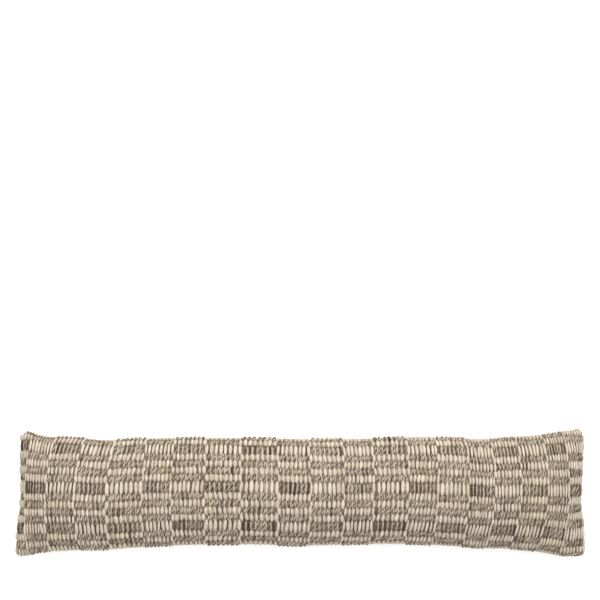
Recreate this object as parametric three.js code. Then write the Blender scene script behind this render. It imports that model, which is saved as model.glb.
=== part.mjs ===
// A filled draught excluder, lying on its back: two long panels of one thick ribbed cloth,
// sewn together all round and stuffed. X runs along it, Y across it and Z up, in millimetres.
// The origin is on the floor, under the middle of its outline.

import * as THREE from "three";
import { mergeVertices } from "three/addons/utils/BufferGeometryUtils.js";

// The whole thing
const LENGTH = 892; // between the two end seams
const CROWN = 41; // how far each panel rises from the seams at mid length
const SEAM_HEIGHT = 33.5; // of the long seams above the floor at mid length
const END_DROOP = 3.5; // how much lower the end seams lie
const DROOP_POWER = 4; // how near the ends they start to fall
const END_EASE = 35; // how quickly the filling thins out towards an end seam
const END_POWER = 0.6; // below 1, the end is rounder beside its seam
const CORNER_RADIUS = 11;
const HALF_WIDTH = 100; // of the panels where their corners are rounded
const CORNER_FADE = 40; // how far in from the end a rounded corner still bends the cloth

// The section of a panel is a curve whose slope grows evenly from its middle, and then quickly at the seam.
const OPEN_SLOPE = 0.8; // in radians, beside the rolled edge
const ROLLED_EDGE = 1; // in radians, what the edge adds at the seam
const ROLL_POWER = 16;
const SECTION_STEPS = 160;

// Where the filled thing touches the floor
const FLOOR_EASE = 1; // how gently the patch on the floor ends
const FLATTENED_BELOW = 4; // how high over the floor the ribs begin to flatten

// The ribs run the whole length, over thin and thick cords. Relief is from groove to crest.
const RIB_RELIEF = 2.8;
const RIB_ROWS = [ // from the far seam to the near one
  "thin", "thin", "thick", "thin", "thin", "thin", "thin", "thick",
  "thin", "thin", "thin", "thin", "thick", "thin", "thin", "thin",
];
const CORD_PITCH = { thin: 11.5, thick: 17.6 };
const FAR_SEAM_TAKES = 3.1; // the part of the first rib that is turned in at the far seam
const RIB_DRIFT = 4.2; // how far the ribs run off, towards the near seam at the right end
const SEAM_SUNK = 0.3; // the share of the relief that a seam is let in
const RIB_POINTS = [ // one rib from groove to groove, as shares of its width and of the relief
  { along: 0, sunk: 1, pressed: 0.4 },
  { along: 0.24, sunk: 0.2, pressed: 0 },
  { along: 0.5, sunk: 0, pressed: 0 },
  { along: 0.76, sunk: 0.2, pressed: 0 },
];

// Pale and dark yarn change places from block to block and from rib to rib. The dark yarn is thinner,
// and it stands out where it turns over the long seams. These are the blocks' ends, along the cloth.
const BLOCK_EDGES = [
  -430, -388, -341.5, -293.7, -241.5, -198, -148.5, -94.6, -37.2, 12.7, 65, 110.4,
  164.6, 208.8, 255, 293.5, 334, 375.8, 414,
];
const DARK_SUNK = 0.7;
const DARK_EDGE = 1.6;

// The outline, from the middle of the length: the far and near long edges
const SECTIONS = [
  { at: -446, far: 94.5, near: -101.5 },
  { at: -430, far: 94.5, near: -101.5 },
  { at: -402, far: 88, near: -96 },
  { at: -354, far: 86, near: -92.5 },
  { at: -307, far: 82, near: -92 },
  { at: -259, far: 84.5, near: -88.5 },
  { at: -174, far: 86, near: -84.5 },
  { at: -79, far: 85.5, near: -83.5 },
  { at: 0, far: 84.5, near: -85.5 },
  { at: 79, far: 84.5, near: -83.5 },
  { at: 157, far: 87, near: -82.5 },
  { at: 236, far: 86.5, near: -85.5 },
  { at: 284, far: 84, near: -89 },
  { at: 331, far: 87.5, near: -90 },
  { at: 378, far: 91.5, near: -94.5 },
  { at: 413, far: 97.5, near: -101 },
  { at: 446, far: 100.5, near: -101.5 },
];

// How far each end seam lies from the middle, across the width from the near corner to the far one
const ENDS = [
  { across: -1, left: 449, right: 449 },
  { across: -0.6, left: 448, right: 448.5 },
  { across: -0.25, left: 443, right: 443 },
  { across: 0.05, left: 441, right: 443.5 },
  { across: 0.4, left: 442, right: 445 },
  { across: 0.75, left: 442, right: 447 },
  { across: 1, left: 441, right: 446 },
];

// How far the cloth is shifted along X from the place it was cut for. bow is in its middle, where it climbs
// the crown, and lean is at the far seam, and the other way at the near one.
const SHIFTS = [
  { at: -446, bow: 0, lean: 0 },
  { at: -430, bow: -5, lean: 1 },
  { at: -400, bow: -11.5, lean: 3 },
  { at: -350, bow: -13, lean: 4 },
  { at: -290, bow: -11, lean: 4 },
  { at: -240, bow: -7, lean: 2.5 },
  { at: -190, bow: -3.5, lean: 1.5 },
  { at: -100, bow: 0.5, lean: 1 },
  { at: 0, bow: 3, lean: 1 },
  { at: 100, bow: 4, lean: 1.5 },
  { at: 200, bow: 6.5, lean: 2.5 },
  { at: 260, bow: 10, lean: 3.5 },
  { at: 320, bow: 14, lean: 4.5 },
  { at: 380, bow: 16, lean: 5 },
  { at: 414, bow: 13, lean: 4.5 },
  { at: 446, bow: 0, lean: 0 },
];

// The stations near an end seam, as distances from it
const END_STATIONS = [0, 3, 8];

// Half the steps over which the way out of the skin is found, in millimetres and in shares
const STEP_ALONG = 0.25;
const STEP_ACROSS = 0.003;

// The value of one column of a table at a place, on a smooth curve through the rows.
function between(rows, place, column, value) {
  let i = 0;
  while (i < rows.length - 2 && rows[i + 1][place] < value) i += 1;
  const [a, b] = [rows[i], rows[i + 1]];
  const before = rows[Math.max(i - 1, 0)];
  const after = rows[Math.min(i + 2, rows.length - 1)];
  const span = b[place] - a[place];
  const t = THREE.MathUtils.clamp((value - a[place]) / span, 0, 1);
  const slopeA = (b[column] - before[column]) / (b[place] - before[place]) * span;
  const slopeB = (after[column] - a[column]) / (after[place] - a[place]) * span;
  const rise = b[column] - a[column];
  return a[column] + t * (slopeA + t * (3 * rise - 2 * slopeA - slopeB + t * (slopeA + slopeB - 2 * rise)));
}

// The section of a panel at a given opening slope, on evenly spaced shares of the way from its middle
// to a seam: how far across (0 to 1) and how high (1 to 0).
function sectionCurve(open) {
  const slope = (share) => open * share + ROLLED_EDGE * share ** ROLL_POWER;
  const across = [0];
  const fall = [0];
  for (let i = 0; i < SECTION_STEPS; i += 1) {
    const middle = slope((i + 0.5) / SECTION_STEPS);
    across.push(across[i] + Math.cos(middle));
    fall.push(fall[i] + Math.sin(middle));
  }
  return {
    across: across.map((a) => a / across[SECTION_STEPS]),
    height: fall.map((f) => 1 - f / fall[SECTION_STEPS]),
  };
}

function readCurve(values, share) {
  const step = Math.min(Math.floor(share * SECTION_STEPS), SECTION_STEPS - 1);
  return THREE.MathUtils.lerp(values[step], values[step + 1], share * SECTION_STEPS - step);
}

// Presses a height flat against the floor, easing in over FLOOR_EASE on each side of it.
function onFloor(z) {
  if (z >= FLOOR_EASE) return z;
  return z <= -FLOOR_EASE ? 0 : (z + FLOOR_EASE) ** 2 / (4 * FLOOR_EASE);
}

// How far the end seam is from the middle of the length, with the corners rounded.
function endReach(share, side) {
  const straight = 1 - CORNER_RADIUS / HALF_WIDTH;
  const turn = Math.max(0, (Math.abs(share) - straight) / (1 - straight));
  const seam = between(ENDS, "across", side < 0 ? "left" : "right", share);
  return seam - CORNER_RADIUS * (1 - Math.sqrt(1 - turn * turn));
}

// The smooth skin over the crests of the ribs. along is the place in the cloth from mid length,
// share runs from -1 at the near seam to 1 at the far one, and face is 1 for the front and -1 for the back.
function skinPoint(along, share, face) {
  const side = Math.sign(along) || 1;
  const fromEnd = LENGTH / 2 - Math.abs(along);
  const fullness = (1 - Math.exp(-fromEnd / END_EASE)) ** END_POWER;
  const curve = sectionCurve(OPEN_SLOPE * fullness);
  const far = between(SECTIONS, "at", "far", along);
  const near = between(SECTIONS, "at", "near", along);
  const y = (far + near) / 2 + (far - near) / 2 * Math.sign(share) * readCurve(curve.across, Math.abs(share));
  const rise = CROWN * fullness * readCurve(curve.height, Math.abs(share));
  const seam = SEAM_HEIGHT - END_DROOP * (along / (LENGTH / 2)) ** DROOP_POWER;
  const fade = Math.max(0, 1 - fromEnd / CORNER_FADE) ** 2;
  const shift = between(SHIFTS, "at", "bow", along) * (1 - share * share)
    + between(SHIFTS, "at", "lean", along) * share;
  const x = along + side * (endReach(share, side) - LENGTH / 2) * fade + shift;
  return new THREE.Vector3(x, y, face > 0 ? seam + rise : onFloor(seam - rise));
}

// The way out of the skin at a point, from two short steps over it
function skinNormal(along, share, face) {
  const limit = LENGTH / 2 - STEP_ALONG;
  const a = THREE.MathUtils.clamp(along, -limit, limit);
  const s = THREE.MathUtils.clamp(share, STEP_ACROSS - 1, 1 - STEP_ACROSS);
  const alongWay = skinPoint(a + STEP_ALONG, s, face).sub(skinPoint(a - STEP_ALONG, s, face));
  const acrossWay = skinPoint(a, s + STEP_ACROSS, face).sub(skinPoint(a, s - STEP_ACROSS, face));
  return alongWay.cross(acrossWay).multiplyScalar(face).normalize();
}

// On a seam, where both faces meet, the way out is level.
function seamNormal(along, share) {
  const normal = skinNormal(along, share, 1);
  normal.z = 0;
  return normal.normalize();
}

// The stations along the length: the end seams, the edges of the blocks and their middles.
// middle is 1 in the middle of a block, and 0 at its edges.
function stations() {
  const found = END_STATIONS.map((d) => ({ along: -LENGTH / 2 + d, block: -1, middle: 0 }));
  BLOCK_EDGES.forEach((edge, block) => {
    found.push({ along: edge, block, middle: 0 });
    if (block < BLOCK_EDGES.length - 1) {
      found.push({ along: (edge + BLOCK_EDGES[block + 1]) / 2, block, middle: 1 });
    }
  });
  for (const d of [...END_STATIONS].reverse()) found.push({ along: LENGTH / 2 - d, block: -1, middle: 0 });
  return found;
}

// The points across a panel at a station, from the far seam to the near one, as places in the ribs.
function ribPlaces(along) {
  const widths = RIB_ROWS.map((cord, row) => CORD_PITCH[cord] - (row === 0 ? FAR_SEAM_TAKES : 0));
  const total = widths.reduce((sum, width) => sum + width, 0);
  const places = [];
  const drift = RIB_DRIFT * along / (LENGTH / 2);
  let edge = 0;
  widths.forEach((width, row) => {
    const start = row === 0 ? 0 : edge + drift;
    edge += width;
    const end = row === RIB_ROWS.length - 1 ? total : edge + drift;
    for (const point of RIB_POINTS) {
      places.push({ ...point, row, share: 1 - 2 * (start + point.along * (end - start)) / total });
    }
  });
  places.push({ ...RIB_POINTS[0], row: RIB_ROWS.length - 1, share: -1 });
  places[0].sunk = SEAM_SUNK;
  places[places.length - 1].sunk = SEAM_SUNK;
  return places;
}

// A point of the cloth: the skin, let in at the grooves and where the thin dark yarn shows.
function clothPoint(station, place, face) {
  const onSeam = Math.abs(place.share) === 1 || Math.abs(station.along) === LENGTH / 2;
  const point = skinPoint(station.along, place.share, face);
  const normal = onSeam
    ? seamNormal(station.along, place.share)
    : skinNormal(station.along, place.share, face);
  const pressed = face < 0 ? THREE.MathUtils.clamp(1 - point.z / FLATTENED_BELOW, 0, 1) : 0;
  const dark = station.middle * ((place.row + station.block) % 2) * (1 - place.sunk);
  const edgeRow = place.row === 0 || place.row === RIB_ROWS.length - 1;
  const sunk = THREE.MathUtils.lerp(place.sunk, place.pressed, pressed);
  const depth = sunk * RIB_RELIEF + dark * (edgeRow ? -DARK_EDGE : DARK_SUNK) * (1 - pressed);
  return point.addScaledVector(normal, -depth);
}

// One face of the cloth as rows of triangles, with the front face turned up and the back face down.
function addFace(positions, face) {
  const grid = stations().map((station) => {
    return ribPlaces(station.along).map((place) => clothPoint(station, place, face));
  });
  for (let i = 0; i < grid.length - 1; i += 1) {
    for (let j = 0; j < grid[i].length - 1; j += 1) {
      const corners = [grid[i][j], grid[i][j + 1], grid[i + 1][j + 1], grid[i + 1][j]];
      if (face < 0) corners.reverse();
      for (const k of [0, 1, 2, 0, 2, 3]) positions.push(...corners[k].toArray());
    }
  }
}

// The filled cover: both faces, joined along the seams, with its outline's middle over the origin.
function filledCover() {
  const positions = [];
  addFace(positions, 1);
  addFace(positions, -1);
  const faces = new THREE.BufferGeometry();
  faces.setAttribute("position", new THREE.Float32BufferAttribute(positions, 3));
  const geometry = mergeVertices(faces, 1e-3);
  geometry.computeBoundingBox();
  const middle = geometry.boundingBox.getCenter(new THREE.Vector3());
  geometry.translate(-middle.x, -middle.y, -geometry.boundingBox.min.z);
  geometry.computeVertexNormals();
  const woven = new THREE.MeshStandardMaterial({ color: 0xaa9c89, roughness: 0.95, metalness: 0 });
  const cover = new THREE.Mesh(geometry, woven);
  cover.name = "filled_cover";
  return cover;
}

const draughtExcluder = new THREE.Group();
draughtExcluder.add(filledCover());

export default draughtExcluder;
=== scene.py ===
"""A stuffed draught excluder in a thick two-tone ribbed rep weave, lying on its back.

X runs along it, Y across it and Z up, in metres. The tables and the places in the cloth are in
millimetres, as a maker would measure them, and MM turns them into metres.

Every piece is laid on one skin, the smooth surface over the crests of the ribs. A place in the cloth is
given by along (millimetres from mid length), share (-1 at the near long seam to 1 at the far one) and
height (millimetres out of the skin).
"""

import bpy
import numpy as np
from bpy.props import FloatProperty, FloatVectorProperty, IntProperty, PointerProperty
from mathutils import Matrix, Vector


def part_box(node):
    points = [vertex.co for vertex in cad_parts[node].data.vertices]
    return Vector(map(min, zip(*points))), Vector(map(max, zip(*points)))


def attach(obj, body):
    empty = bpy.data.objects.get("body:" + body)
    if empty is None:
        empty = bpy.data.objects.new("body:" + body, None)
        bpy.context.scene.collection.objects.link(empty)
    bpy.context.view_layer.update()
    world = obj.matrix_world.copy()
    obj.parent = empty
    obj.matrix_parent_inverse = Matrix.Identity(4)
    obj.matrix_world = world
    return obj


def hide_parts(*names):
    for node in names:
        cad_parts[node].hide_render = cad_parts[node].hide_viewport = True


bl_info = {
    "name": "Draught excluder",
    "version": (1, 0, 0),
    "blender": (4, 5, 0),
    "location": "3D View > Sidebar > Draught excluder",
    "description": "Makes a stuffed draught excluder in ribbed rep weave, with its stage",
    "category": "Add Mesh",
}

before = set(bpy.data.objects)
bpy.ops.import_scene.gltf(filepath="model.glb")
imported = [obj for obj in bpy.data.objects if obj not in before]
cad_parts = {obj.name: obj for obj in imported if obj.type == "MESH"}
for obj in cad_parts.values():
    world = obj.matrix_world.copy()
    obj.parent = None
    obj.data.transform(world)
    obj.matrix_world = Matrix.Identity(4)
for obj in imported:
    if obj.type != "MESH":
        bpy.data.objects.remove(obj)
CAD_LOW, CAD_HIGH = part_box("filled_cover")
MM = 0.001

# The outline from above: (place along, far edge, near edge)
SECTIONS = [
    (-446, 94.5, -101.5),
    (-430, 94.5, -101.5),
    (-402, 88, -96),
    (-354, 86, -92.5),
    (-307, 82, -92),
    (-259, 84.5, -88.5),
    (-174, 86, -84.5),
    (-79, 85.5, -83.5),
    (0, 84.5, -85.5),
    (79, 84.5, -83.5),
    (157, 87, -82.5),
    (236, 86.5, -85.5),
    (284, 84, -89),
    (331, 87.5, -90),
    (378, 91.5, -94.5),
    (413, 97.5, -101),
    (446, 100.5, -101.5),
]

# How far each end seam lies from the middle: (share across, left end, right end)
ENDS = [
    (-1, 449, 449),
    (-0.6, 448, 448.5),
    (-0.25, 443, 443),
    (0.05, 441, 443.5),
    (0.4, 442, 445),
    (0.75, 442, 447),
    (1, 441, 446),
]

# The ribs, from the far seam to the near one, in millimetres of flat cloth
RIBS = [8.4, 11.5, 17.6, 11.5, 11.5, 11.5, 11.5, 17.6, 11.5, 11.5, 11.5, 11.5, 17.6, 11.5, 11.5, 11.5]

TALL_RIB = 15  # a rib that is longer than this is a tall one

# How far the cloth is shifted along X from the place it was cut for: (place along, bow in the middle where
# it climbs the crown, lean at the far seam, which is the other way at the near one)
SHIFTS = [
    (-446, 0, 0),
    (-430, -5, 1),
    (-400, -11.5, 3),
    (-350, -13, 4),
    (-290, -11, 4),
    (-240, -7, 2.5),
    (-190, -3.5, 1.5),
    (-100, 0.5, 1),
    (0, 3, 1),
    (100, 4, 1.5),
    (200, 6.5, 2.5),
    (260, 10, 3.5),
    (320, 14, 4.5),
    (380, 16, 5),
    (414, 13, 4.5),
    (446, 0, 0),
]

# The blocks in which pale and dark yarn change places: their ends along the cloth. Beyond them the blocks go
# on until an end seam cuts them. In a block, pale and dark yarns take turns, pale at both ends.
BLOCK_EDGES = [
    -430, -388, -341.5, -293.7, -241.5, -198, -148.5, -94.6, -37.2, 12.7,
    65, 110.4, 164.6, 208.8, 255, 292.5, 331.5, 372.5, 408.5,
]  # fmt: skip
BLOCKS_BEYOND = 2
PALE_IN_BLOCK = 8
SPACINGS_IN_BLOCK = 7.4
END_CLEAR = 0.25  # spacings within which an end seam takes up a yarn
EDGE_LIFT = 0.9  # of the dark patches where the cloth turns over a long seam
CORNER_CLEAR = 1.3  # spacings of the dark yarns that a corner hides in its seam
PATCH_SEED = 71
PATCH_PUSH = 0.8  # spread of how far a rib's blocks are pushed along

# The ribs waver in two waves: (amount, length over which it turns by a radian, turn from rib to rib)
SLOW_WAVER = (0.45, 37, 1.7)
QUICK_WAVER = (0.35, 15, 2.9)

# A grain is a plump strand whose middle and tips differ by these measures
TIP_WIDTH = 0.1  # as a share of its full width
TIP_POWER = 1.35  # above 1, the tips are more pointed
TIP_THICKNESS = 0.35  # as a share of its full thickness
PARTING = 8  # the power that keeps the groove between two strands narrow

HALF_WIDTH = 100  # of a panel
DROOP_POWER = 4  # the higher, the nearer the ends the long seams droop
END_ZONE = 380  # how far from mid length the cloth starts to bend down to an end seam
FIBRE_LENGTH = 7
TWIST = 0.025  # of the spun yarns, in turns for each millimetre
TINY = 1e-12  # keeps a division by no length sound
SKIN_STATIONS = 641
SKIN_STEPS = 160  # from the middle of a panel to a seam

# The plain form that the filling presses out is sewn from every few points of the skin
FORM_NAME = "filled_form_moves"
FORM_STATION = 4
FORM_STEP = 8


def table_curve(rows, column, at):
    """Reads one column of a table at an array of places, on a cubic between each two rows whose end
    slopes are those of the rows on either side."""
    table = np.array(rows, float)
    place, value = table[:, 0], table[:, column]
    i = np.clip(np.searchsorted(place, at) - 1, 0, len(place) - 2)
    before = np.maximum(i - 1, 0)
    after = np.minimum(i + 2, len(place) - 1)
    span = place[i + 1] - place[i]
    t = np.clip((at - place[i]) / span, 0, 1)
    slope_a = (value[i + 1] - value[before]) / (place[i + 1] - place[before]) * span
    slope_b = (value[after] - value[i]) / (place[after] - place[i]) * span
    rise = value[i + 1] - value[i]
    curve = slope_a + t * (3 * rise - 2 * slope_a - slope_b + t * (slope_a + slope_b - 2 * rise))
    return value[i] + t * curve


def section_curves(open_slope, sizes):
    """The section of a panel, one row for each opening slope. Its slope is open_slope times the share of the
    way from the middle, plus the rolled edge times a high power of that share. Across runs from 0 to 1 and
    height from 1 to 0."""
    share = (np.arange(SKIN_STEPS) + 0.5) / SKIN_STEPS
    slope = open_slope[:, None] * share + sizes.rolled_edge * share**sizes.roll_power
    start = np.zeros((len(open_slope), 1))
    across = np.hstack([start, np.cumsum(np.cos(slope), axis=1)])
    fall = np.hstack([start, np.cumsum(np.sin(slope), axis=1)])
    return across / across[:, -1:], 1 - fall / fall[:, -1:]


def end_reach(share, column, corner):
    """How far an end seam is from mid length: the table's curve, less a quarter circle at the corners."""
    straight = 1 - corner / HALF_WIDTH
    turn = np.clip((np.abs(share) - straight) / (1 - straight), 0, 1)
    return table_curve(ENDS, column, share) - corner * (1 - np.sqrt(1 - turn**2))


def on_floor(height, ease):
    """Presses heights flat at 0, on a parabola within ease on each side of it."""
    eased = (height + ease) ** 2 / (4 * ease)
    return np.where(height >= ease, height, np.where(height <= -ease, 0, eased))


class Skin:
    """The smooth skin of one panel as a grid of points and normals, and how to lay things on it."""

    def __init__(self, sizes, face):
        """face is 1 for the front panel and -1 for the back one."""
        half = sizes.length / MM / 2
        self.along = half * np.sin(np.linspace(-1, 1, SKIN_STATIONS) * np.pi / 2)
        self.share = np.linspace(-1, 1, 2 * SKIN_STEPS + 1)
        self.half = half
        self.face = face
        from_end = half - np.abs(self.along)
        self.drift = sizes.rib_drift / MM / half
        fullness = (1 - np.exp(-from_end * MM / sizes.end_ease)) ** sizes.end_power
        across, height = section_curves(sizes.open_slope * fullness, sizes)
        across = np.hstack([-across[:, :0:-1], across])
        height = np.hstack([height[:, :0:-1], height])
        far = table_curve(SECTIONS, 1, self.along)[:, None]
        near = table_curve(SECTIONS, 2, self.along)[:, None]
        y = (far + near) / 2 + (far - near) / 2 * across
        seam = sizes.seam_height / MM - sizes.end_droop / MM * (self.along / half)[:, None] ** DROOP_POWER
        rise = sizes.crown / MM * fullness[:, None] * height
        z = seam + rise if face > 0 else on_floor(seam - rise, sizes.floor_ease / MM)
        x = self.shifted(from_end, sizes)
        self.point = np.stack([x, y, z], axis=2) * MM
        self.settle()

    def shifted(self, from_end, sizes):
        """Along, moved to the end seam's true place near it, and by the table of shifts: the bow times one
        less the share squared, and the lean times the share."""
        side = np.where(self.along < 0, -1, 1)[:, None]
        corner = sizes.corner_radius / MM
        left = end_reach(self.share, 1, corner)[None, :]
        right = end_reach(self.share, 2, corner)[None, :]
        reach = np.where(side < 0, left, right)
        fade = (np.clip(1 - from_end * MM / sizes.corner_fade, 0, 1) ** 2)[:, None]
        bow = table_curve(SHIFTS, 1, self.along)[:, None] * (1 - self.share**2)
        lean = table_curve(SHIFTS, 2, self.along)[:, None] * self.share
        return self.along[:, None] + side * (reach - self.half) * fade + bow + lean

    def settle(self):
        """Works the normals out again from the points: the cross product of the two ways along the grid."""
        way_along = np.gradient(self.point, axis=0)
        way_across = np.gradient(self.point, axis=1)
        normal = np.cross(way_along, way_across) * self.face
        self.normal = normal / np.maximum(np.linalg.norm(normal, axis=2, keepdims=True), TINY)

    def press(self, move):
        """Adds moves that are known at every few points of the grid, and lets them run evenly between."""
        for axis, step in ((0, FORM_STATION), (1, FORM_STEP)):
            at = np.arange(self.point.shape[axis]) / step
            low = np.minimum(at.astype(int), move.shape[axis] - 2)
            share = (at - low).reshape((-1, 1, 1) if axis == 0 else (1, -1, 1))
            move = np.take(move, low, axis) * (1 - share) + np.take(move, low + 1, axis) * share
        self.point += move
        self.point[..., 2] = np.maximum(self.point[..., 2], 0)
        self.settle()

    def cloth_distances(self):
        """For each point of the grid, how far it is from mid length over the cloth. Every rib has the same
        length of cloth, so in the end zones the distance over it is scaled to that of the middle line."""
        steps = np.linalg.norm(np.diff(self.point, axis=0), axis=2) / MM
        distance = np.vstack([np.zeros(steps.shape[1]), np.cumsum(steps, axis=0)])
        distance -= distance[SKIN_STATIONS // 2]
        cloth = np.repeat(distance[:, SKIN_STEPS, None], distance.shape[1], axis=1)
        for end in (0, -1):
            zone = self.along * self.along[end] > END_ZONE * self.half
            start = np.argmin(np.abs(self.along - np.sign(self.along[end]) * END_ZONE))
            middle, own = distance[:, SKIN_STEPS, None], distance
            scale = (middle[end] - middle[start]) / (own[end] - own[start])
            cloth[zone] = (middle[start] + (own - own[start]) * scale)[zone]
        return cloth

    def lay(self, along, share, height):
        """Points at places in the cloth: the grid read between its four nearest points, plus height times
        the normal there. Nothing goes below the floor."""
        u = np.interp(along, self.along, np.arange(SKIN_STATIONS))
        v = (np.clip(share, -1, 1) + 1) * SKIN_STEPS
        i = np.clip(u.astype(int), 0, SKIN_STATIONS - 2)
        j = np.clip(v.astype(int), 0, 2 * SKIN_STEPS - 1)
        a = (u - i)[..., None]
        b = (v - j)[..., None]

        def read(grid):
            low = grid[i, j] * (1 - b) + grid[i, j + 1] * b
            high = grid[i + 1, j] * (1 - b) + grid[i + 1, j + 1] * b
            return low * (1 - a) + high * a

        placed = read(self.point) + np.asarray(height)[..., None] * MM * read(self.normal)
        placed[..., 2] = np.maximum(placed[..., 2], 0)
        return placed


def skins(sizes):
    """The skins of the front and back panels, pressed out as the filled form is, and moved to where the
    outline's middle is over the origin."""
    pair = [Skin(sizes, 1), Skin(sizes, -1)]
    form = bpy.data.meshes.get(FORM_NAME)
    if form:
        moves = np.empty(len(form.vertices) * 3, np.float32)
        form.vertices.foreach_get("co", moves)
        moves = moves.reshape(2, len(pair[0].along[::FORM_STATION]), -1, 3)
        for skin, move in zip(pair, moves):
            skin.press(move.astype(float))
    low = np.minimum(*[s.point.min(axis=(0, 1)) for s in pair])
    high = np.maximum(*[s.point.max(axis=(0, 1)) for s in pair])
    move = (np.array(CAD_LOW + CAD_HIGH) - low - high) / 2
    for s in pair:
        s.point[..., :2] += move[:2]
    return pair


def wave(waver, along, number):
    """How far a rib is off its line: a sine along it, turned on from rib to rib."""
    amount, length, turn = waver
    return amount * np.sin(along / length + turn * number)


def rib_edge(skin, edge, along):
    """The share at which a rib starts, by its number from the far seam. The ribs run off evenly along the
    cloth and waver a little, and the seams cut them."""
    flat = np.concatenate([[0], np.cumsum(RIBS)])
    waver = wave(SLOW_WAVER, along, edge) + wave(QUICK_WAVER, along, edge * skin.face)
    run_off = (skin.drift * along + waver) * ((edge > 0) & (edge < len(RIBS)))
    return 1 - 2 * (flat[edge] + run_off) / flat[-1]


def patch_values(rng, spread):
    """A random value for each block in each rib."""
    return rng.normal(0, spread, (len(BLOCK_EDGES) + 2 * BLOCKS_BEYOND, len(RIBS)))


class Floats:
    """The pale or the dark yarns where they lie on the face, or where they pass under, one entry each: along,
    rib, far and near, the shares where its rib starts and ends, spacing to the next yarn of its colour,
    length over the rib, whether it is tall, lift, how much further out the float stands, and column, the
    number of its yarn."""

    def __init__(self, skin, pale, on_face=True):
        cloth = skin.cloth_distances()
        inner = np.interp(BLOCK_EDGES, skin.along, cloth[:, SKIN_STEPS])
        beyond = np.arange(1, BLOCKS_BEYOND + 1)
        before = inner[0] - beyond[::-1] * (inner[1] - inner[0])
        after = inner[-1] + beyond * (inner[-1] - inner[-2])
        edges = np.concatenate([before, inner, after])
        in_block = PALE_IN_BLOCK if pale else PALE_IN_BLOCK - 1
        first = (SPACINGS_IN_BLOCK - in_block + 1) / 2
        block = np.repeat(np.arange(len(edges) - 1), in_block)
        number = np.tile(np.arange(in_block), len(edges) - 1)
        spacing = np.diff(edges)[block] / SPACINGS_IN_BLOCK
        place = edges[block] + (first + number) * spacing
        clear = END_CLEAR * spacing
        inside = (place > cloth[0, 0] + clear) & (place < cloth[-1, 0] - clear)
        if pale and not on_face:
            inside &= (number > 0) & (number < in_block - 1)
        block, spacing, place = block[inside], spacing[inside], place[inside]
        pushed = patch_values(np.random.default_rng(PATCH_SEED + skin.face), PATCH_PUSH)
        middles = (np.cumsum(RIBS) - np.array(RIBS) / 2) / sum(RIBS)
        found = []
        for rib, middle in enumerate(middles):
            at_seam = rib in (0, len(RIBS) - 1)
            over_rib = cloth[:, round((1 - middle) * 2 * SKIN_STEPS)]
            shown = ((rib + block) % 2 == 0) == (pale == on_face)
            if at_seam and not pale:
                clear = CORNER_CLEAR * spacing
                shown &= (place > cloth[0, 0] + clear) & (place < cloth[-1, 0] - clear)
            at = (place + pushed[block, rib])[shown]
            half = spacing[shown] / 2
            low, along, high = (np.interp(at + d, over_rib, skin.along) for d in (-half, 0, half))
            column = np.nonzero(shown)[0]
            ribs = np.full(len(column), rib)
            lifts = np.full(len(column), EDGE_LIFT if at_seam and pale != on_face else 0.0)
            found.append((along, high - low, lifts, column, block[shown], ribs))
        columns = [np.concatenate(values) for values in zip(*found)]
        self.along, self.spacing, self.lift, self.column, self.block, self.rib = columns
        self.columns = len(block)
        self.far = rib_edge(skin, self.rib, self.along)
        self.near = rib_edge(skin, self.rib + 1, self.along)
        self.length = np.array(RIBS)[self.rib]
        self.tall = self.length > TALL_RIB

    def __len__(self):
        return len(self.rib)

    def by_patch(self, values):
        """One value for each float from a table of blocks and ribs."""
        return values[self.block, self.rib]


class Uneven:
    """How much one grain differs from the next: the spread of each measure, in millimetres unless it is a
    share of something."""

    MIDDLE = 0.02  # share of its length
    REACH = 0.05  # share of its rib
    YARN = 0.06  # share of the width, for all the floats of one yarn
    WIDTH = 0.1  # share of the width, for each float
    HEIGHT = 0.15
    PATCH_LEAN = 0.35
    LEAN = 0.4
    PLACE = 0.25
    BOW = 0.3


def grains(skin, floats, rng, rings, sides, reach, width, thick, low, rise, split=0.0):
    """Plump closed strands, one for each float: rings across a yarn whose half width and thickness follow
    the half circle over its length, and whose middle line climbs from low by rise in the same way. width is
    half its width as a share of its spacing, and reach its length in widths of its rib. split is the mean
    depth of a groove along the top, which parts the two strands of a roving."""
    count = len(floats)
    t = np.linspace(0, 1, rings)[None, :, None]
    turn = np.linspace(0, 2 * np.pi, sides, endpoint=False)[None, None, :] + np.pi / 2
    far, near = floats.far[:, None, None], floats.near[:, None, None]

    def vary(middle, spread):
        return rng.normal(middle, spread, (count, 1, 1))

    share = (far + near) / 2 + (near - far) * (t - 0.5 + vary(0, Uneven.MIDDLE)) * vary(reach, Uneven.REACH)
    belly = np.sqrt(np.maximum(1 - (2 * t - 1) ** 2, 0))
    column = rng.normal(1, Uneven.YARN, floats.columns)[floats.column, None, None]
    full = floats.spacing[:, None, None] * width * column * vary(1, Uneven.WIDTH)
    half = full * (TIP_WIDTH + (1 - TIP_WIDTH) * belly**TIP_POWER)
    middle = low + (rise + floats.lift[:, None, None]) * belly + vary(0, Uneven.HEIGHT)
    lean = floats.by_patch(patch_values(rng, Uneven.PATCH_LEAN))[:, None, None] + vary(0, Uneven.LEAN)
    wander = vary(0, Uneven.PLACE) + lean * (2 * t - 1) + vary(0, Uneven.BOW) * (2 * t - 1) ** 2
    depth = np.clip(vary(split, split), 0, 1) * belly
    place = floats.along[:, None, None] + wander + half * np.cos(turn) * skin.face
    top = np.maximum(np.sin(turn), 0)
    plump = thick * (TIP_THICKNESS + (1 - TIP_THICKNESS) * belly)
    height = middle + plump * (np.sin(turn) - depth * top**PARTING)
    points = skin.lay(np.clip(place, -skin.half, skin.half), share + 0 * turn, height)
    return points, floats.length[:, None] * reach * t[0, :, 0][None, :]


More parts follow.
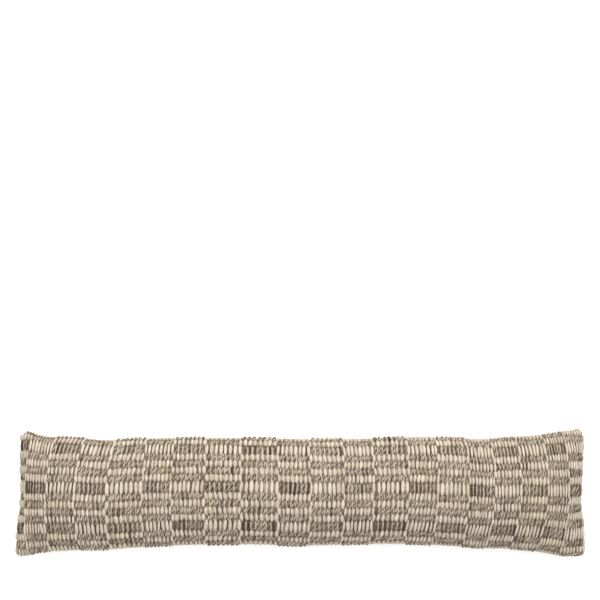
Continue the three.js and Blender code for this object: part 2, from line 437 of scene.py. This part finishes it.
def new_mesh(name, points, corners, counts):
    """A smooth mesh from an array of points, the corners of its faces one after another, and how many each
    face has."""
    mesh = bpy.data.meshes.new(name)
    mesh.vertices.add(len(points))
    mesh.vertices.foreach_set("co", points.astype(np.float32).ravel())
    mesh.loops.add(len(corners))
    mesh.loops.foreach_set("vertex_index", corners.astype(np.int32))
    mesh.polygons.add(len(counts))
    mesh.polygons.foreach_set("loop_start", (np.cumsum(counts) - counts).astype(np.int32))
    mesh.polygons.foreach_set("use_smooth", np.ones(len(counts), bool))
    mesh.update(calc_edges=True)
    if mesh.validate():
        raise RuntimeError(f"{name}: its faces are not sound")
    return mesh


def grid_corners(number, turned):
    """The corners of the faces between neighbouring numbers of a grid, facing out of the front or back."""
    a, b = number[:-1, :-1], number[1:, :-1]
    c, d = number[1:, 1:], number[:-1, 1:]
    order = [a, b, c, d] if turned else [a, d, c, b]
    return np.stack(order, axis=-1).ravel()


def sewn_mesh(name, front, back):
    """A closed mesh of two grids of points, which share the points of their rims. Also gives the numbers of
    the front's and of the back's points in it."""
    rim = np.ones(front.shape[:2], bool)
    rim[1:-1, 1:-1] = False
    front = np.where(rim[..., None], (front + back) / 2, front)
    number = np.arange(rim.size).reshape(rim.shape)
    behind = number.copy()
    behind[~rim] = rim.size + np.arange((~rim).sum())
    points = np.concatenate([front.reshape(-1, 3), back[~rim]])
    corners = np.concatenate([grid_corners(number, False), grid_corners(behind, True)])
    return new_mesh(name, points, corners, np.full(len(corners) // 4, 4)), number, behind


def add_values(mesh, name, kind, values):
    """Stores one value for each point."""
    key = "color" if kind == "FLOAT_COLOR" else "value"
    layer = mesh.attributes.new(name, kind, "POINT")
    layer.data.foreach_set(key, values.astype(np.float32).ravel())


def strands(name, points, lengthwise):
    """A mesh of closed strands. points is (strand, ring, side, 3), and lengthwise the distance of each ring
    along its strand. The map has the way round in U, which starts underneath, and the distance along in V."""
    strand_count, rings, sides, _ = points.shape
    strand, ring, side = np.meshgrid(
        np.arange(strand_count), np.arange(rings - 1), np.arange(sides), indexing="ij"
    )
    turned = (side + 1) % sides
    start = (strand * rings + ring) * sides
    walls = np.stack([start + side, start + turned, start + sides + turned, start + sides + side], axis=-1)
    around = np.arange(sides)
    first = np.arange(strand_count)[:, None] * rings * sides
    low_caps = first + around[::-1]
    high_caps = first + (rings - 1) * sides + around
    corners = np.concatenate([walls.ravel(), low_caps.ravel(), high_caps.ravel()])
    counts = np.concatenate([np.full(walls.size // 4, 4), np.full(2 * strand_count, sides)])
    mesh = new_mesh(name, points.reshape(-1, 3), corners, counts)
    way = (side + sides // 2) % sides
    u = np.stack([way, way + 1, way + 1, way], axis=-1) / sides
    low, high = lengthwise[strand, ring], lengthwise[strand, ring + 1]
    v = np.stack([low, low, high, high], axis=-1)
    cap_u = np.tile(around / sides, 2 * strand_count)
    cap_v = np.repeat(np.concatenate([lengthwise[:, 0], lengthwise[:, -1]]), sides)
    uv = np.stack([np.concatenate([u.ravel(), cap_u]), np.concatenate([v.ravel(), cap_v])], axis=-1)
    mesh.uv_layers.new(name="yarn").data.foreach_set("uv", uv.astype(np.float32).ravel())
    return mesh


def place_piece(mesh, material):
    """Puts a mesh of the cover into the scene, in place of the plain solid."""
    mesh.materials.append(material)
    piece = bpy.data.objects.new(mesh.name, mesh)
    bpy.context.scene.collection.objects.link(piece)
    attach(piece, "root")
    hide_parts("filled_cover")


def new_material(name, roughness, sheen):
    """A material with a principled shader, a node maker and a linker."""
    material = bpy.data.materials.new(name)
    material.use_nodes = True
    tree = material.node_tree
    shader = tree.nodes["Principled BSDF"]
    shader.inputs["Roughness"].default_value = roughness
    shader.inputs["Sheen Weight"].default_value = sheen
    shader.inputs["Sheen Roughness"].default_value = 0.6
    shader.inputs["Specular IOR Level"].default_value = 0.15

    def add(kind, **settings):
        node = tree.nodes.new(kind)
        for key, value in settings.items():
            if isinstance(value, (int, float, tuple, list)) and key in node.inputs:
                node.inputs[key].default_value = value
            else:
                setattr(node, key, value)
        return node

    return material, shader, add, tree.links.new


def yarn_material(name, colour_from, fibres_around, marl):
    """Spun yarn. colour_from(add, link) gives the colour that its fibres and flecks darken and lighten,
    between the two factors of marl. Fibres are streaks along the yarn that wind round it, from the map, and
    flecks and slubs come from Object coordinates."""
    material, shader, add, link = new_material(name, roughness=0.95, sheen=0.06)
    coords = add("ShaderNodeTexCoord")
    twist = add("ShaderNodeMapping", vector_type="TEXTURE")
    twist.inputs["Scale"].default_value = (1 / fibres_around, FIBRE_LENGTH, 1)
    twist.inputs["Rotation"].default_value = (0, 0, TWIST)
    link(coords.outputs["UV"], twist.inputs["Vector"])
    fibres = add("ShaderNodeTexNoise", Scale=1.6, Detail=2.0, Roughness=0.6)
    link(twist.outputs["Vector"], fibres.inputs["Vector"])
    slubs = add("ShaderNodeTexNoise", Scale=420.0, Detail=2.0, Roughness=0.55)
    link(coords.outputs["Object"], slubs.inputs["Vector"])
    shade = add("ShaderNodeMix", data_type="RGBA", blend_type="MULTIPLY")
    shade.inputs["Factor"].default_value = 1.0
    link(colour_from(add, link), shade.inputs["A"])
    spread = add("ShaderNodeMapRange")
    for key, value in {"From Min": 0.32, "From Max": 0.68, "To Min": marl[0], "To Max": marl[1]}.items():
        spread.inputs[key].default_value = value
    flecks = add("ShaderNodeTexNoise", Scale=230.0, Detail=2.0, Roughness=0.6)
    link(coords.outputs["Object"], flecks.inputs["Vector"])
    mean = add("ShaderNodeMix", data_type="FLOAT")
    mean.inputs["Factor"].default_value = 0.5
    link(fibres.outputs["Fac"], mean.inputs["A"])
    link(flecks.outputs["Fac"], mean.inputs["B"])
    link(mean.outputs["Result"], spread.inputs["Value"])
    link(spread.outputs["Result"], shade.inputs["B"])
    link(shade.outputs["Result"], shader.inputs["Base Color"])
    both = add("ShaderNodeMath", operation="ADD")
    link(fibres.outputs["Fac"], both.inputs[0])
    link(slubs.outputs["Fac"], both.inputs[1])
    bump = add("ShaderNodeBump", Strength=0.6, Distance=0.0005)
    link(both.outputs["Value"], bump.inputs["Height"])
    link(bump.outputs["Normal"], shader.inputs["Normal"])
    return material


class DraughtSizes(bpy.types.PropertyGroup):
    """Sizes of the cover and its ribs."""

    length: FloatProperty(
        name="Length", description="Between the two end seams", default=0.892, unit="LENGTH"
    )
    crown: FloatProperty(
        name="Crown", description="Rise of each panel above its seams", default=0.041, unit="LENGTH"
    )
    seam_height: FloatProperty(
        name="Seam height", description="Of the long seams above the floor", default=0.0335, unit="LENGTH"
    )
    end_droop: FloatProperty(
        name="End droop", description="How much lower the end seams lie", default=0.0035, unit="LENGTH"
    )
    end_ease: FloatProperty(
        name="End ease", description="How quickly the filling thins towards an end", default=0.035,
        unit="LENGTH",
    )
    end_power: FloatProperty(
        name="End roundness", description="Below 1, the end is rounder beside its seam", default=0.6
    )
    open_slope: FloatProperty(
        name="Opening slope", description="Slope of a panel beside its rolled edge, in radians", default=0.8
    )
    rolled_edge: FloatProperty(
        name="Rolled edge", description="Slope that the edge adds at the seam, in radians", default=1.0
    )
    roll_power: FloatProperty(name="Roll power", description="How near the seam the edge rolls", default=16)
    floor_ease: FloatProperty(
        name="Floor ease", description="Softness of the edge of the patch on the floor", default=0.004,
        unit="LENGTH",
    )
    corner_radius: FloatProperty(
        name="Corner radius", description="Of the four corners", default=0.011, unit="LENGTH"
    )
    corner_fade: FloatProperty(
        name="Corner fade", description="How far a corner bends the cloth", default=0.04, unit="LENGTH"
    )
    rib_drift: FloatProperty(
        name="Rib drift", description="How far the ribs run off at an end", default=0.0042, unit="LENGTH"
    )
    groove_depth: FloatProperty(
        name="Groove depth", description="Of the grooves between the ribs, below the skin", default=0.0042,
        unit="LENGTH",
    )
    ground_depth: FloatProperty(
        name="Ground depth", description="Of the ground under the yarns, below the skin", default=0.0026,
        unit="LENGTH",
    )
    seed: IntProperty(name="Seed", description="Starts the small differences between yarns", default=8061)


class DraughtColours(bpy.types.PropertyGroup):
    """Colours of the yarns and of the stage."""

    # Pale floats take tones between pale_low and pale_high at random, and the floats that pass under lean to
    # pale_low as painted shade
    pale_low: FloatVectorProperty(
        name="Pale yarn, dark tone and painted shade", description="Darkest pale yarn",
        subtype="COLOR", default=(0.30, 0.245, 0.182),
    )
    pale_high: FloatVectorProperty(
        name="Pale yarn, light tone", description="Lightest pale yarn",
        subtype="COLOR", default=(0.428, 0.372, 0.298),
    )
    dark_ply: FloatVectorProperty(
        name="Dark ply", description="Darkest ply of the marled yarn",
        subtype="COLOR", default=(0.04, 0.024, 0.01),
    )
    light_ply: FloatVectorProperty(
        name="Light ply", description="Lightest ply of the marled yarn",
        subtype="COLOR", default=(0.36, 0.30, 0.225),
    )
    rust: FloatVectorProperty(
        name="Rust", description="What a few patches are tinted with",
        subtype="COLOR", default=(0.14, 0.082, 0.056),
    )
    ground: FloatVectorProperty(
        name="Ground", description="Yarn between the floats",
        subtype="COLOR", default=(0.23, 0.178, 0.125),
    )
    floor: FloatVectorProperty(
        name="Floor", description="Pale floor",
        subtype="COLOR", default=(0.98, 0.98, 0.98),
    )


class OBJECT_OT_draught_filling(bpy.types.Operator):
    """Sews a plain cover of both panels and presses it out from inside, held at its seams and on the floor"""

    bl_idname = "object.draught_filling"
    bl_label = "Filling"

    FRAMES = 20
    PRESSURE = 4.0
    START = 0.96  # of the height from the seams, before it is pressed out
    FARTHEST = 0.005  # that a point may move
    ON_FLOOR = 0.0005  # a point this low lies on the floor

    def execute(self, context):
        earlier = bpy.data.meshes.get(FORM_NAME)
        if earlier:
            bpy.data.meshes.remove(earlier)
        sizes = context.scene.draught_sizes
        pair = skins(sizes)
        # Turned round across, so that the form's faces look outwards
        coarse = [skin.point[::FORM_STATION, ::-FORM_STEP] for skin in pair]
        seam = sizes.seam_height
        start = []
        for grid in coarse:
            lowered = grid.copy()
            lowered[..., 2] = seam + (grid[..., 2] - seam) * self.START
            lowered[grid[..., 2] <= self.ON_FLOOR, 2] = 0.0
            start.append(lowered)
        mesh, front, back = sewn_mesh("filled_form", *start)
        cover = bpy.data.objects.new("filled_form", mesh)
        context.scene.collection.objects.link(cover)
        rest = np.empty(len(mesh.vertices) * 3, np.float32)
        mesh.vertices.foreach_get("co", rest)
        rest = rest.reshape(-1, 3)
        held = np.union1d(np.intersect1d(front, back), np.nonzero(rest[:, 2] <= self.ON_FLOOR)[0])
        cover.vertex_groups.new(name="held").add([int(i) for i in held], 1.0, "REPLACE")
        pressed = self.pressed(context, cover)
        move = pressed - rest
        length = np.linalg.norm(move, axis=1, keepdims=True)
        move *= np.minimum(1, self.FARTHEST / np.maximum(length, TINY))
        moves = [(rest + move)[number] - grid for number, grid in zip((front, back), coarse)]
        form = bpy.data.meshes.new(FORM_NAME)
        form.from_pydata(np.concatenate([m[:, ::-1].reshape(-1, 3) for m in moves]).tolist(), [], [])
        form.use_fake_user = True
        bpy.data.objects.remove(cover)
        bpy.data.meshes.remove(mesh)
        return {"FINISHED"}

    def pressed(self, context, cover):
        """The cover's points after the simulation."""
        cloth = cover.modifiers.new("filling", "CLOTH")
        settings = cloth.settings
        settings.use_pressure = True
        settings.uniform_pressure_force = self.PRESSURE
        settings.effector_weights.gravity = 0.0
        settings.vertex_group_mass = "held"
        settings.quality = 6
        settings.tension_stiffness = settings.compression_stiffness = 20.0
        settings.bending_stiffness = 2.0
        cloth.point_cache.frame_start, cloth.point_cache.frame_end = 1, self.FRAMES
        for moment in range(1, self.FRAMES + 1):
            context.scene.frame_set(moment)
        shown = cover.evaluated_get(context.evaluated_depsgraph_get()).to_mesh()
        points = np.empty(len(shown.vertices) * 3, np.float32)
        shown.vertices.foreach_get("co", points)
        cover.modifiers.clear()
        context.scene.frame_set(1)
        return points.reshape(-1, 3)


class OBJECT_OT_draught_ground_cloth(bpy.types.Operator):
    """The ground of both panels, ribbed and closed along the seams, which the floats lie on"""

    bl_idname = "object.draught_ground_cloth"
    bl_label = "Ground cloth"

    STATIONS = 140
    POINTS_IN_RIB = 7
    GROOVE_POWER = 2.4
    EVEN_SHARE = 0.55  # of the stations' spacing, the rest of it closing up towards the ends
    SPECK = 0.45  # how dark its darkest specks are, as a share of its colour

    def rib_heights(self, skin, along, sizes):
        """Shares across the panel at each station, and how far the ground is below the skin: the ground depth
        at a crest, falling to the groove depth with a power of the distance from the crest."""
        point = np.arange(len(RIBS) * self.POINTS_IN_RIB + 1)
        rib = np.minimum(point // self.POINTS_IN_RIB, len(RIBS) - 1)
        within = point / self.POINTS_IN_RIB - rib
        far = rib_edge(skin, rib, along[:, None])
        near = rib_edge(skin, rib + 1, along[:, None])
        fall = np.abs(2 * within - 1) ** self.GROOVE_POWER
        depth = -(sizes.ground_depth + (sizes.groove_depth - sizes.ground_depth) * fall) / MM
        return far + (near - far) * within, depth[None, :]

    def execute(self, context):
        sizes = context.scene.draught_sizes
        front, back = skins(sizes)
        even = np.linspace(-1, 1, self.STATIONS)
        closing = np.sin(even * np.pi / 2)
        along = front.half * (self.EVEN_SHARE * even + (1 - self.EVEN_SHARE) * closing)
        grid_share, depth = self.rib_heights(front, along, sizes)
        grid_along = np.broadcast_to(along[:, None], grid_share.shape)
        faces = [s.lay(grid_along, grid_share, depth) for s in (front, back)]
        mesh, _, _ = sewn_mesh("ground_cloth", *faces)
        place_piece(mesh, self.material(context.scene.draught_colours))
        return {"FINISHED"}

    def material(self, colours):
        """Brown ground, darkened in coarse specks, with the fibres and flecks of spun yarn over them."""

        def colour_from(add, link):
            coords = add("ShaderNodeTexCoord")
            grain = add("ShaderNodeTexNoise", Scale=260.0, Detail=3.0)
            link(coords.outputs["Object"], grain.inputs["Vector"])
            ramp = add("ShaderNodeValToRGB")
            ramp.color_ramp.elements[0].position = 0.35
            ramp.color_ramp.elements[1].position = 0.68
            ramp.color_ramp.elements[0].color = (*(c * self.SPECK for c in colours.ground), 1)
            ramp.color_ramp.elements[1].color = (*colours.ground, 1)
            link(grain.outputs["Fac"], ramp.inputs["Fac"])
            return ramp.outputs["Color"]

        return yarn_material("ground_weave", colour_from, fibres_around=1, marl=(0.6, 1.3))


class OBJECT_OT_draught_pale_yarns(bpy.types.Operator):
    """The plump pale floats of both panels"""

    bl_idname = "object.draught_pale_yarns"
    bl_label = "Pale yarns"

    RINGS, SIDES = 7, 7
    LOW_RINGS, LOW_SIDES = 5, 6
    YARN_SPREAD = 0.6  # of the tone from yarn to yarn, as a share of that from float to float
    # how much paler the floats over the tall ribs are
    TALL_LIGHTER = 0.15

    def tones(self, floats, rng, middle, spread):
        """Where each float is between the two pale colours. The floats of one yarn are alike, and those over
        the tall ribs are paler."""
        column = rng.normal(0, self.YARN_SPREAD * spread, floats.columns)[floats.column]
        middle = middle + self.TALL_LIGHTER * floats.tall
        return np.clip(middle + column + rng.normal(0, spread, len(floats)), 0, 1)

    def execute(self, context):
        sizes = context.scene.draught_sizes
        material = self.material(context.scene.draught_colours)
        for number, (skin, side) in enumerate(zip(skins(sizes), ("front", "back"))):
            rng = np.random.default_rng(sizes.seed + number)
            over = Floats(skin, pale=True)
            points, lengthwise = grains(
                skin, over, rng, self.RINGS, self.SIDES,
                reach=1.36, width=0.38, thick=1.9, low=-3.8, rise=2.5, split=0.3,
            )  # fmt: skip
            tones = self.tones(over, rng, middle=0.58, spread=0.18)
            self.place(f"pale_yarns_{side}", points, lengthwise, tones, material)
            under = Floats(skin, pale=True, on_face=False)
            points, lengthwise = grains(
                skin, under, rng, self.LOW_RINGS, self.LOW_SIDES,
                reach=1.1, width=0.3, thick=1.0, low=-3.8, rise=1.25,
            )  # fmt: skip
            # Painted shade: the pale floats that pass under take a darker tone than those on the face, for
            # lying low between the dark floats
            tones = self.tones(under, rng, middle=0.25, spread=0.2)
            self.place(f"pale_yarns_under_{side}", points, lengthwise, tones, material)
        return {"FINISHED"}

    def place(self, name, points, lengthwise, tones, material):
        mesh = strands(name, points, lengthwise)
        add_values(mesh, "tone", "FLOAT", np.repeat(tones, points.shape[1] * points.shape[2]))
        place_piece(mesh, material)

    def material(self, colours):
        """Cream roving, each float at its own place between the two pale colours."""

        def colour_from(add, link):
            tone = add("ShaderNodeAttribute", attribute_name="tone")
            mix = add("ShaderNodeMix", data_type="RGBA")
            mix.inputs["A"].default_value = (*colours.pale_low, 1)
            mix.inputs["B"].default_value = (*colours.pale_high, 1)
            link(tone.outputs["Fac"], mix.inputs["Factor"])
            return mix.outputs["Result"]

        return yarn_material("pale_yarn", colour_from, fibres_around=14, marl=(0.76, 1.18))


class OBJECT_OT_draught_dark_yarns(bpy.types.Operator):
    """The slim marled floats of both panels, each of two plies wound round each other"""

    bl_idname = "object.draught_dark_yarns"
    bl_label = "Dark yarns"

    RINGS, SIDES = 9, 5
    LOW_RINGS, LOW_SIDES = 4, 5
    REACH = 1.3  # of a float, in widths of its rib
    TURN_LENGTH = 11  # of a float in which its plies wind round each other once
    SEED_STEP = 10  # so that these yarns don't repeat how the pale ones differ
    AXIS, RADIUS = 0.14, 0.18  # of the plies' helix and of a ply, in spacings
    TURNED_WIDER = 0.2  # where the cloth turns over a long seam
    LOW, RISE = -3.8, 2.7  # height of a float's tips, and how far its middle stands above them
    FLATTENED = 0.8  # height of the helix for its width
    PLY_SPREAD = 0.08
    PATCH_LEAN, LEAN, PLACE = 0.5, 0.5, 0.25  # spreads in millimetres

    # Shades, as shares of the way from the dark ply's colour to the light one's, for the two plies
    MEAN = (0.17, 0.74)
    TALL_MEAN = (0.03, 0.43)
    # Painted light: raises the tone of the dark floats where the cloth turns over a long seam, on that steep
    # edge
    TURNED_PAINTED_LIGHT = 0.08
    YARN_SHADE, PATCH_SHADE, FLOAT_SHADE, PLY_SHADE = 0.12, 0.12, 0.28, 0.12
    SHADE_EFFECT = (0.3, 0.75)

    RUST_SPREAD, RUST_FROM, RUST_MOST = 0.8, 0.2, 0.6
    RUST_EFFECT = (1, 0.3)
    HUE = 0.025
    # Painted light: the dark floats that pass under are lightened, which lifts the shade in the gaps between
    # the pale floats
    UNDER_PAINTED_LIGHT = 1.2

    def plies(self, skin, floats, rng):
        """The plies: two round strands on a helix whose axis rises over the rib as the pale floats do. Where
        the cloth turns over a long seam it stands further out."""
        count = len(floats)
        length = floats.length[:, None, None, None] * self.REACH
        spacing = floats.spacing[:, None, None, None]
        t = np.linspace(0, 1, self.RINGS)[None, None, :, None]
        turn = np.linspace(0, 2 * np.pi, self.SIDES, endpoint=False)[None, None, None, :]
        ply = np.array([0, np.pi])[None, :, None, None]
        far, near = floats.far[:, None, None, None], floats.near[:, None, None, None]
        share = (far + near) / 2 + (near - far) * (t - 0.5) * self.REACH
        belly = np.sqrt(np.maximum(1 - (2 * t - 1) ** 2, 0))
        start = rng.uniform(0, 2 * np.pi, (count, 1, 1, 1))
        wound = start + ply + 2 * np.pi * length / self.TURN_LENGTH * t
        wide = 1 + self.TURNED_WIDER * (floats.lift > 0)[:, None, None, None]
        slim = (1 + belly) / 2
        axis = spacing * self.AXIS * wide * slim
        radius = spacing * self.RADIUS * wide * rng.normal(1, self.PLY_SPREAD, (count, 2, 1, 1)) * slim
        middle = self.LOW + (self.RISE + floats.lift[:, None, None, None]) * belly
        lean = floats.by_patch(patch_values(rng, self.PATCH_LEAN)).reshape(-1, 1, 1, 1)
        lean = lean + rng.normal(0, self.LEAN, (count, 1, 1, 1))
        shift = rng.normal(0, self.PLACE, (count, 1, 1, 1))
        centre = floats.along[:, None, None, None] + shift + lean * (2 * t - 1) + axis * np.cos(wound)
        place = centre + radius * np.cos(turn) * skin.face
        height = middle + axis * self.FLATTENED * np.sin(wound) + radius * np.sin(turn)
        points = skin.lay(np.clip(place, -skin.half, skin.half), share + 0 * place, height)
        lengthwise = length[:, 0, 0] * t[0, 0, :, 0][None, :]
        return points, lengthwise

    def shades(self, floats, rng):
        """A colour for each ply of each float, between the two colours of ply: the first ply nearer the dark
        one and the second nearer the light one. They differ from yarn to yarn, from patch to patch and from
        float to float, some patches are rusty, and the tall ribs are darker. Where the cloth turns over a
        long seam they are raised in tone, as painted light on that steep edge."""
        colours = bpy.context.scene.draught_colours
        dark, light, rust = (np.array(c) for c in (colours.dark_ply, colours.light_ply, colours.rust))
        count = len(floats)
        column = rng.normal(0, self.YARN_SHADE, floats.columns)[floats.column, None]
        patch = floats.by_patch(patch_values(rng, self.PATCH_SHADE))[:, None]
        each = rng.normal(0, self.FLOAT_SHADE, (count, 1)) + rng.normal(0, self.PLY_SHADE, (count, 2))
        mean = np.where(floats.tall[:, None], self.TALL_MEAN, self.MEAN)
        # painted light on the floats where the cloth turns over a long seam
        mean = mean + self.TURNED_PAINTED_LIGHT * (floats.lift > 0)[:, None]
        value = np.clip(mean + (column + patch + each) * self.SHADE_EFFECT, 0, 1)[..., None]
        pair = dark + (light - dark) * value
        rusty = np.clip(floats.by_patch(patch_values(rng, self.RUST_SPREAD)) - self.RUST_FROM, 0, 1)
        rusty = rusty * rng.uniform(0, self.RUST_MOST, count)
        pair += (rust - pair) * rusty[:, None, None] * np.array(self.RUST_EFFECT)[:, None]
        hue = 1 + rng.normal(0, self.HUE, (count, 1, 1)) * np.array([1, 0, -1])
        return np.concatenate([pair * hue, np.ones((count, 2, 1))], axis=2)

    def execute(self, context):
        sizes = context.scene.draught_sizes
        material = self.material()
        for number, (skin, side) in enumerate(zip(skins(sizes), ("front", "back"))):
            rng = np.random.default_rng(sizes.seed + self.SEED_STEP + number)
            over = Floats(skin, pale=False)
            points, lengthwise = self.plies(skin, over, rng)
            shades = self.shades(over, rng)
            for ply, name in enumerate(("dark_plies", "taupe_plies")):
                self.place(f"{name}_{side}", points[:, ply], lengthwise, shades[:, ply], material)
            under = Floats(skin, pale=False, on_face=False)
            points, lengthwise = grains(
                skin, under, rng, self.LOW_RINGS, self.LOW_SIDES,
                reach=1.2, width=0.26, thick=0.9, low=-3.2, rise=1.3,
            )  # fmt: skip
            # Painted light: the dark floats that pass under are lightened, to lift the shade in the gaps
            # between the pale floats
            painted_light = (self.UNDER_PAINTED_LIGHT,) * 3 + (1,)
            shades = self.shades(under, rng).mean(axis=1) * painted_light
            self.place(f"dark_yarns_under_{side}", points, lengthwise, shades, material)
        return {"FINISHED"}

    def place(self, name, points, lengthwise, shades, material):
        mesh = strands(name, points, lengthwise)
        shades = np.repeat(shades, points.shape[1] * points.shape[2], axis=0)
        add_values(mesh, "ply_shade", "FLOAT_COLOR", shades)
        place_piece(mesh, material)

    def material(self):
        """Marled yarn, each ply in its own colour."""

        def colour_from(add, link):
            shade = add("ShaderNodeAttribute", attribute_name="ply_shade")
            return shade.outputs["Color"]

        return yarn_material("dark_yarn", colour_from, fibres_around=8, marl=(0.5, 1.5))


class SCENE_OT_draught_stage(bpy.types.Operator):
    """The pale floor, the soft lights and the camera straight above"""

    bl_idname = "scene.draught_stage"
    bl_label = "Stage"

    CAMERA_HEIGHT = 8.0
    FRAME_WIDTH = 0.9474  # what the photograph's width covers
    FRAME_MIDDLE = (-0.0008, 0.3024)
    FLOOR_REACH = 30.0
    FLOOR_DROP = 0.0002  # keeps it clear of the patch that the cover rests on

    # Name, place, width in metres and power in watts
    LIGHTS = (
        ("key", (0.3, 2.6, 2.6), 2.2, 142),
        ("fill_left", (-2.2, -0.8, 2.4), 2.6, 30),
        ("fill_right", (2.4, -0.8, 2.4), 2.6, 26),
    )
    ROOM_LIGHT = 1.14

    def execute(self, context):
        scene = context.scene
        scene.view_settings.view_transform = "Standard"
        scene.view_settings.look = "None"
        self.floor(scene)
        for lamp in self.LIGHTS:
            self.light(scene, *lamp)
        world = bpy.data.worlds.new("soft_room")
        world.use_nodes = True
        world.node_tree.nodes["Background"].inputs["Color"].default_value = (1, 1, 1, 1)
        world.node_tree.nodes["Background"].inputs["Strength"].default_value = self.ROOM_LIGHT
        scene.world = world
        self.camera(scene)
        return {"FINISHED"}

    def floor(self, scene):
        """A flat square under everything, in a plain pale finish."""
        reach = self.FLOOR_REACH
        points = np.array([(-reach, -reach, 0), (reach, -reach, 0), (reach, reach, 0), (-reach, reach, 0)])
        mesh = new_mesh("floor", points - (0, 0, self.FLOOR_DROP), np.arange(4), np.array([4]))
        material, shader, _, _ = new_material("pale_floor", roughness=0.9, sheen=0.0)
        shader.inputs["Base Color"].default_value = (*bpy.context.scene.draught_colours.floor, 1)
        mesh.materials.append(material)
        floor = bpy.data.objects.new("floor", mesh)
        scene.collection.objects.link(floor)

    def light(self, scene, name, place, size, power):
        """A square soft light that looks at the middle of the cover."""
        data = bpy.data.lights.new(name, "AREA")
        data.size = size
        data.energy = power
        light = bpy.data.objects.new(name, data)
        light.location = place
        light.rotation_euler = (-Vector(place)).to_track_quat("-Z", "Y").to_euler()
        scene.collection.objects.link(light)

    def camera(self, scene):
        """Looks straight down from far off, at the middle of the photograph, which is beyond the cover."""
        data = bpy.data.cameras.new("camera")
        data.sensor_width = 36
        data.lens = data.sensor_width * self.CAMERA_HEIGHT / self.FRAME_WIDTH
        data.clip_start, data.clip_end = 0.1, 100
        camera = bpy.data.objects.new("camera", data)
        camera.location = (*self.FRAME_MIDDLE, self.CAMERA_HEIGHT)
        scene.collection.objects.link(camera)
        scene.camera = camera


class VIEW3D_PT_draught_excluder(bpy.types.Panel):
    """Lists the sizes, the colours and the steps"""

    bl_label = "Draught excluder"
    bl_idname = "VIEW3D_PT_draught_excluder"
    bl_space_type = "VIEW_3D"
    bl_region_type = "UI"
    bl_category = "Draught excluder"

    def draw(self, context):
        layout = self.layout
        for group in (context.scene.draught_sizes, context.scene.draught_colours):
            for name in group.__annotations__:
                layout.prop(group, name)
        for step in STEPS:
            layout.operator(step.bl_idname)


STEPS = (
    OBJECT_OT_draught_filling,
    OBJECT_OT_draught_ground_cloth,
    OBJECT_OT_draught_pale_yarns,
    OBJECT_OT_draught_dark_yarns,
    SCENE_OT_draught_stage,
)
CLASSES = (DraughtSizes, DraughtColours, *STEPS, VIEW3D_PT_draught_excluder)


def register():
    """Makes the groups, steps and panel known."""
    for cls in CLASSES:
        bpy.utils.register_class(cls)
    bpy.types.Scene.draught_sizes = PointerProperty(type=DraughtSizes)
    bpy.types.Scene.draught_colours = PointerProperty(type=DraughtColours)


def unregister():
    """Takes them away again."""
    del bpy.types.Scene.draught_colours
    del bpy.types.Scene.draught_sizes
    for cls in reversed(CLASSES):
        bpy.utils.unregister_class(cls)


def main():
    """Makes every piece and the stage."""
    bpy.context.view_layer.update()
    register()
    bpy.ops.object.draught_filling()
    bpy.ops.object.draught_ground_cloth()
    bpy.ops.object.draught_pale_yarns()
    bpy.ops.object.draught_dark_yarns()
    bpy.ops.scene.draught_stage()


if __name__ == "__main__":
    main()
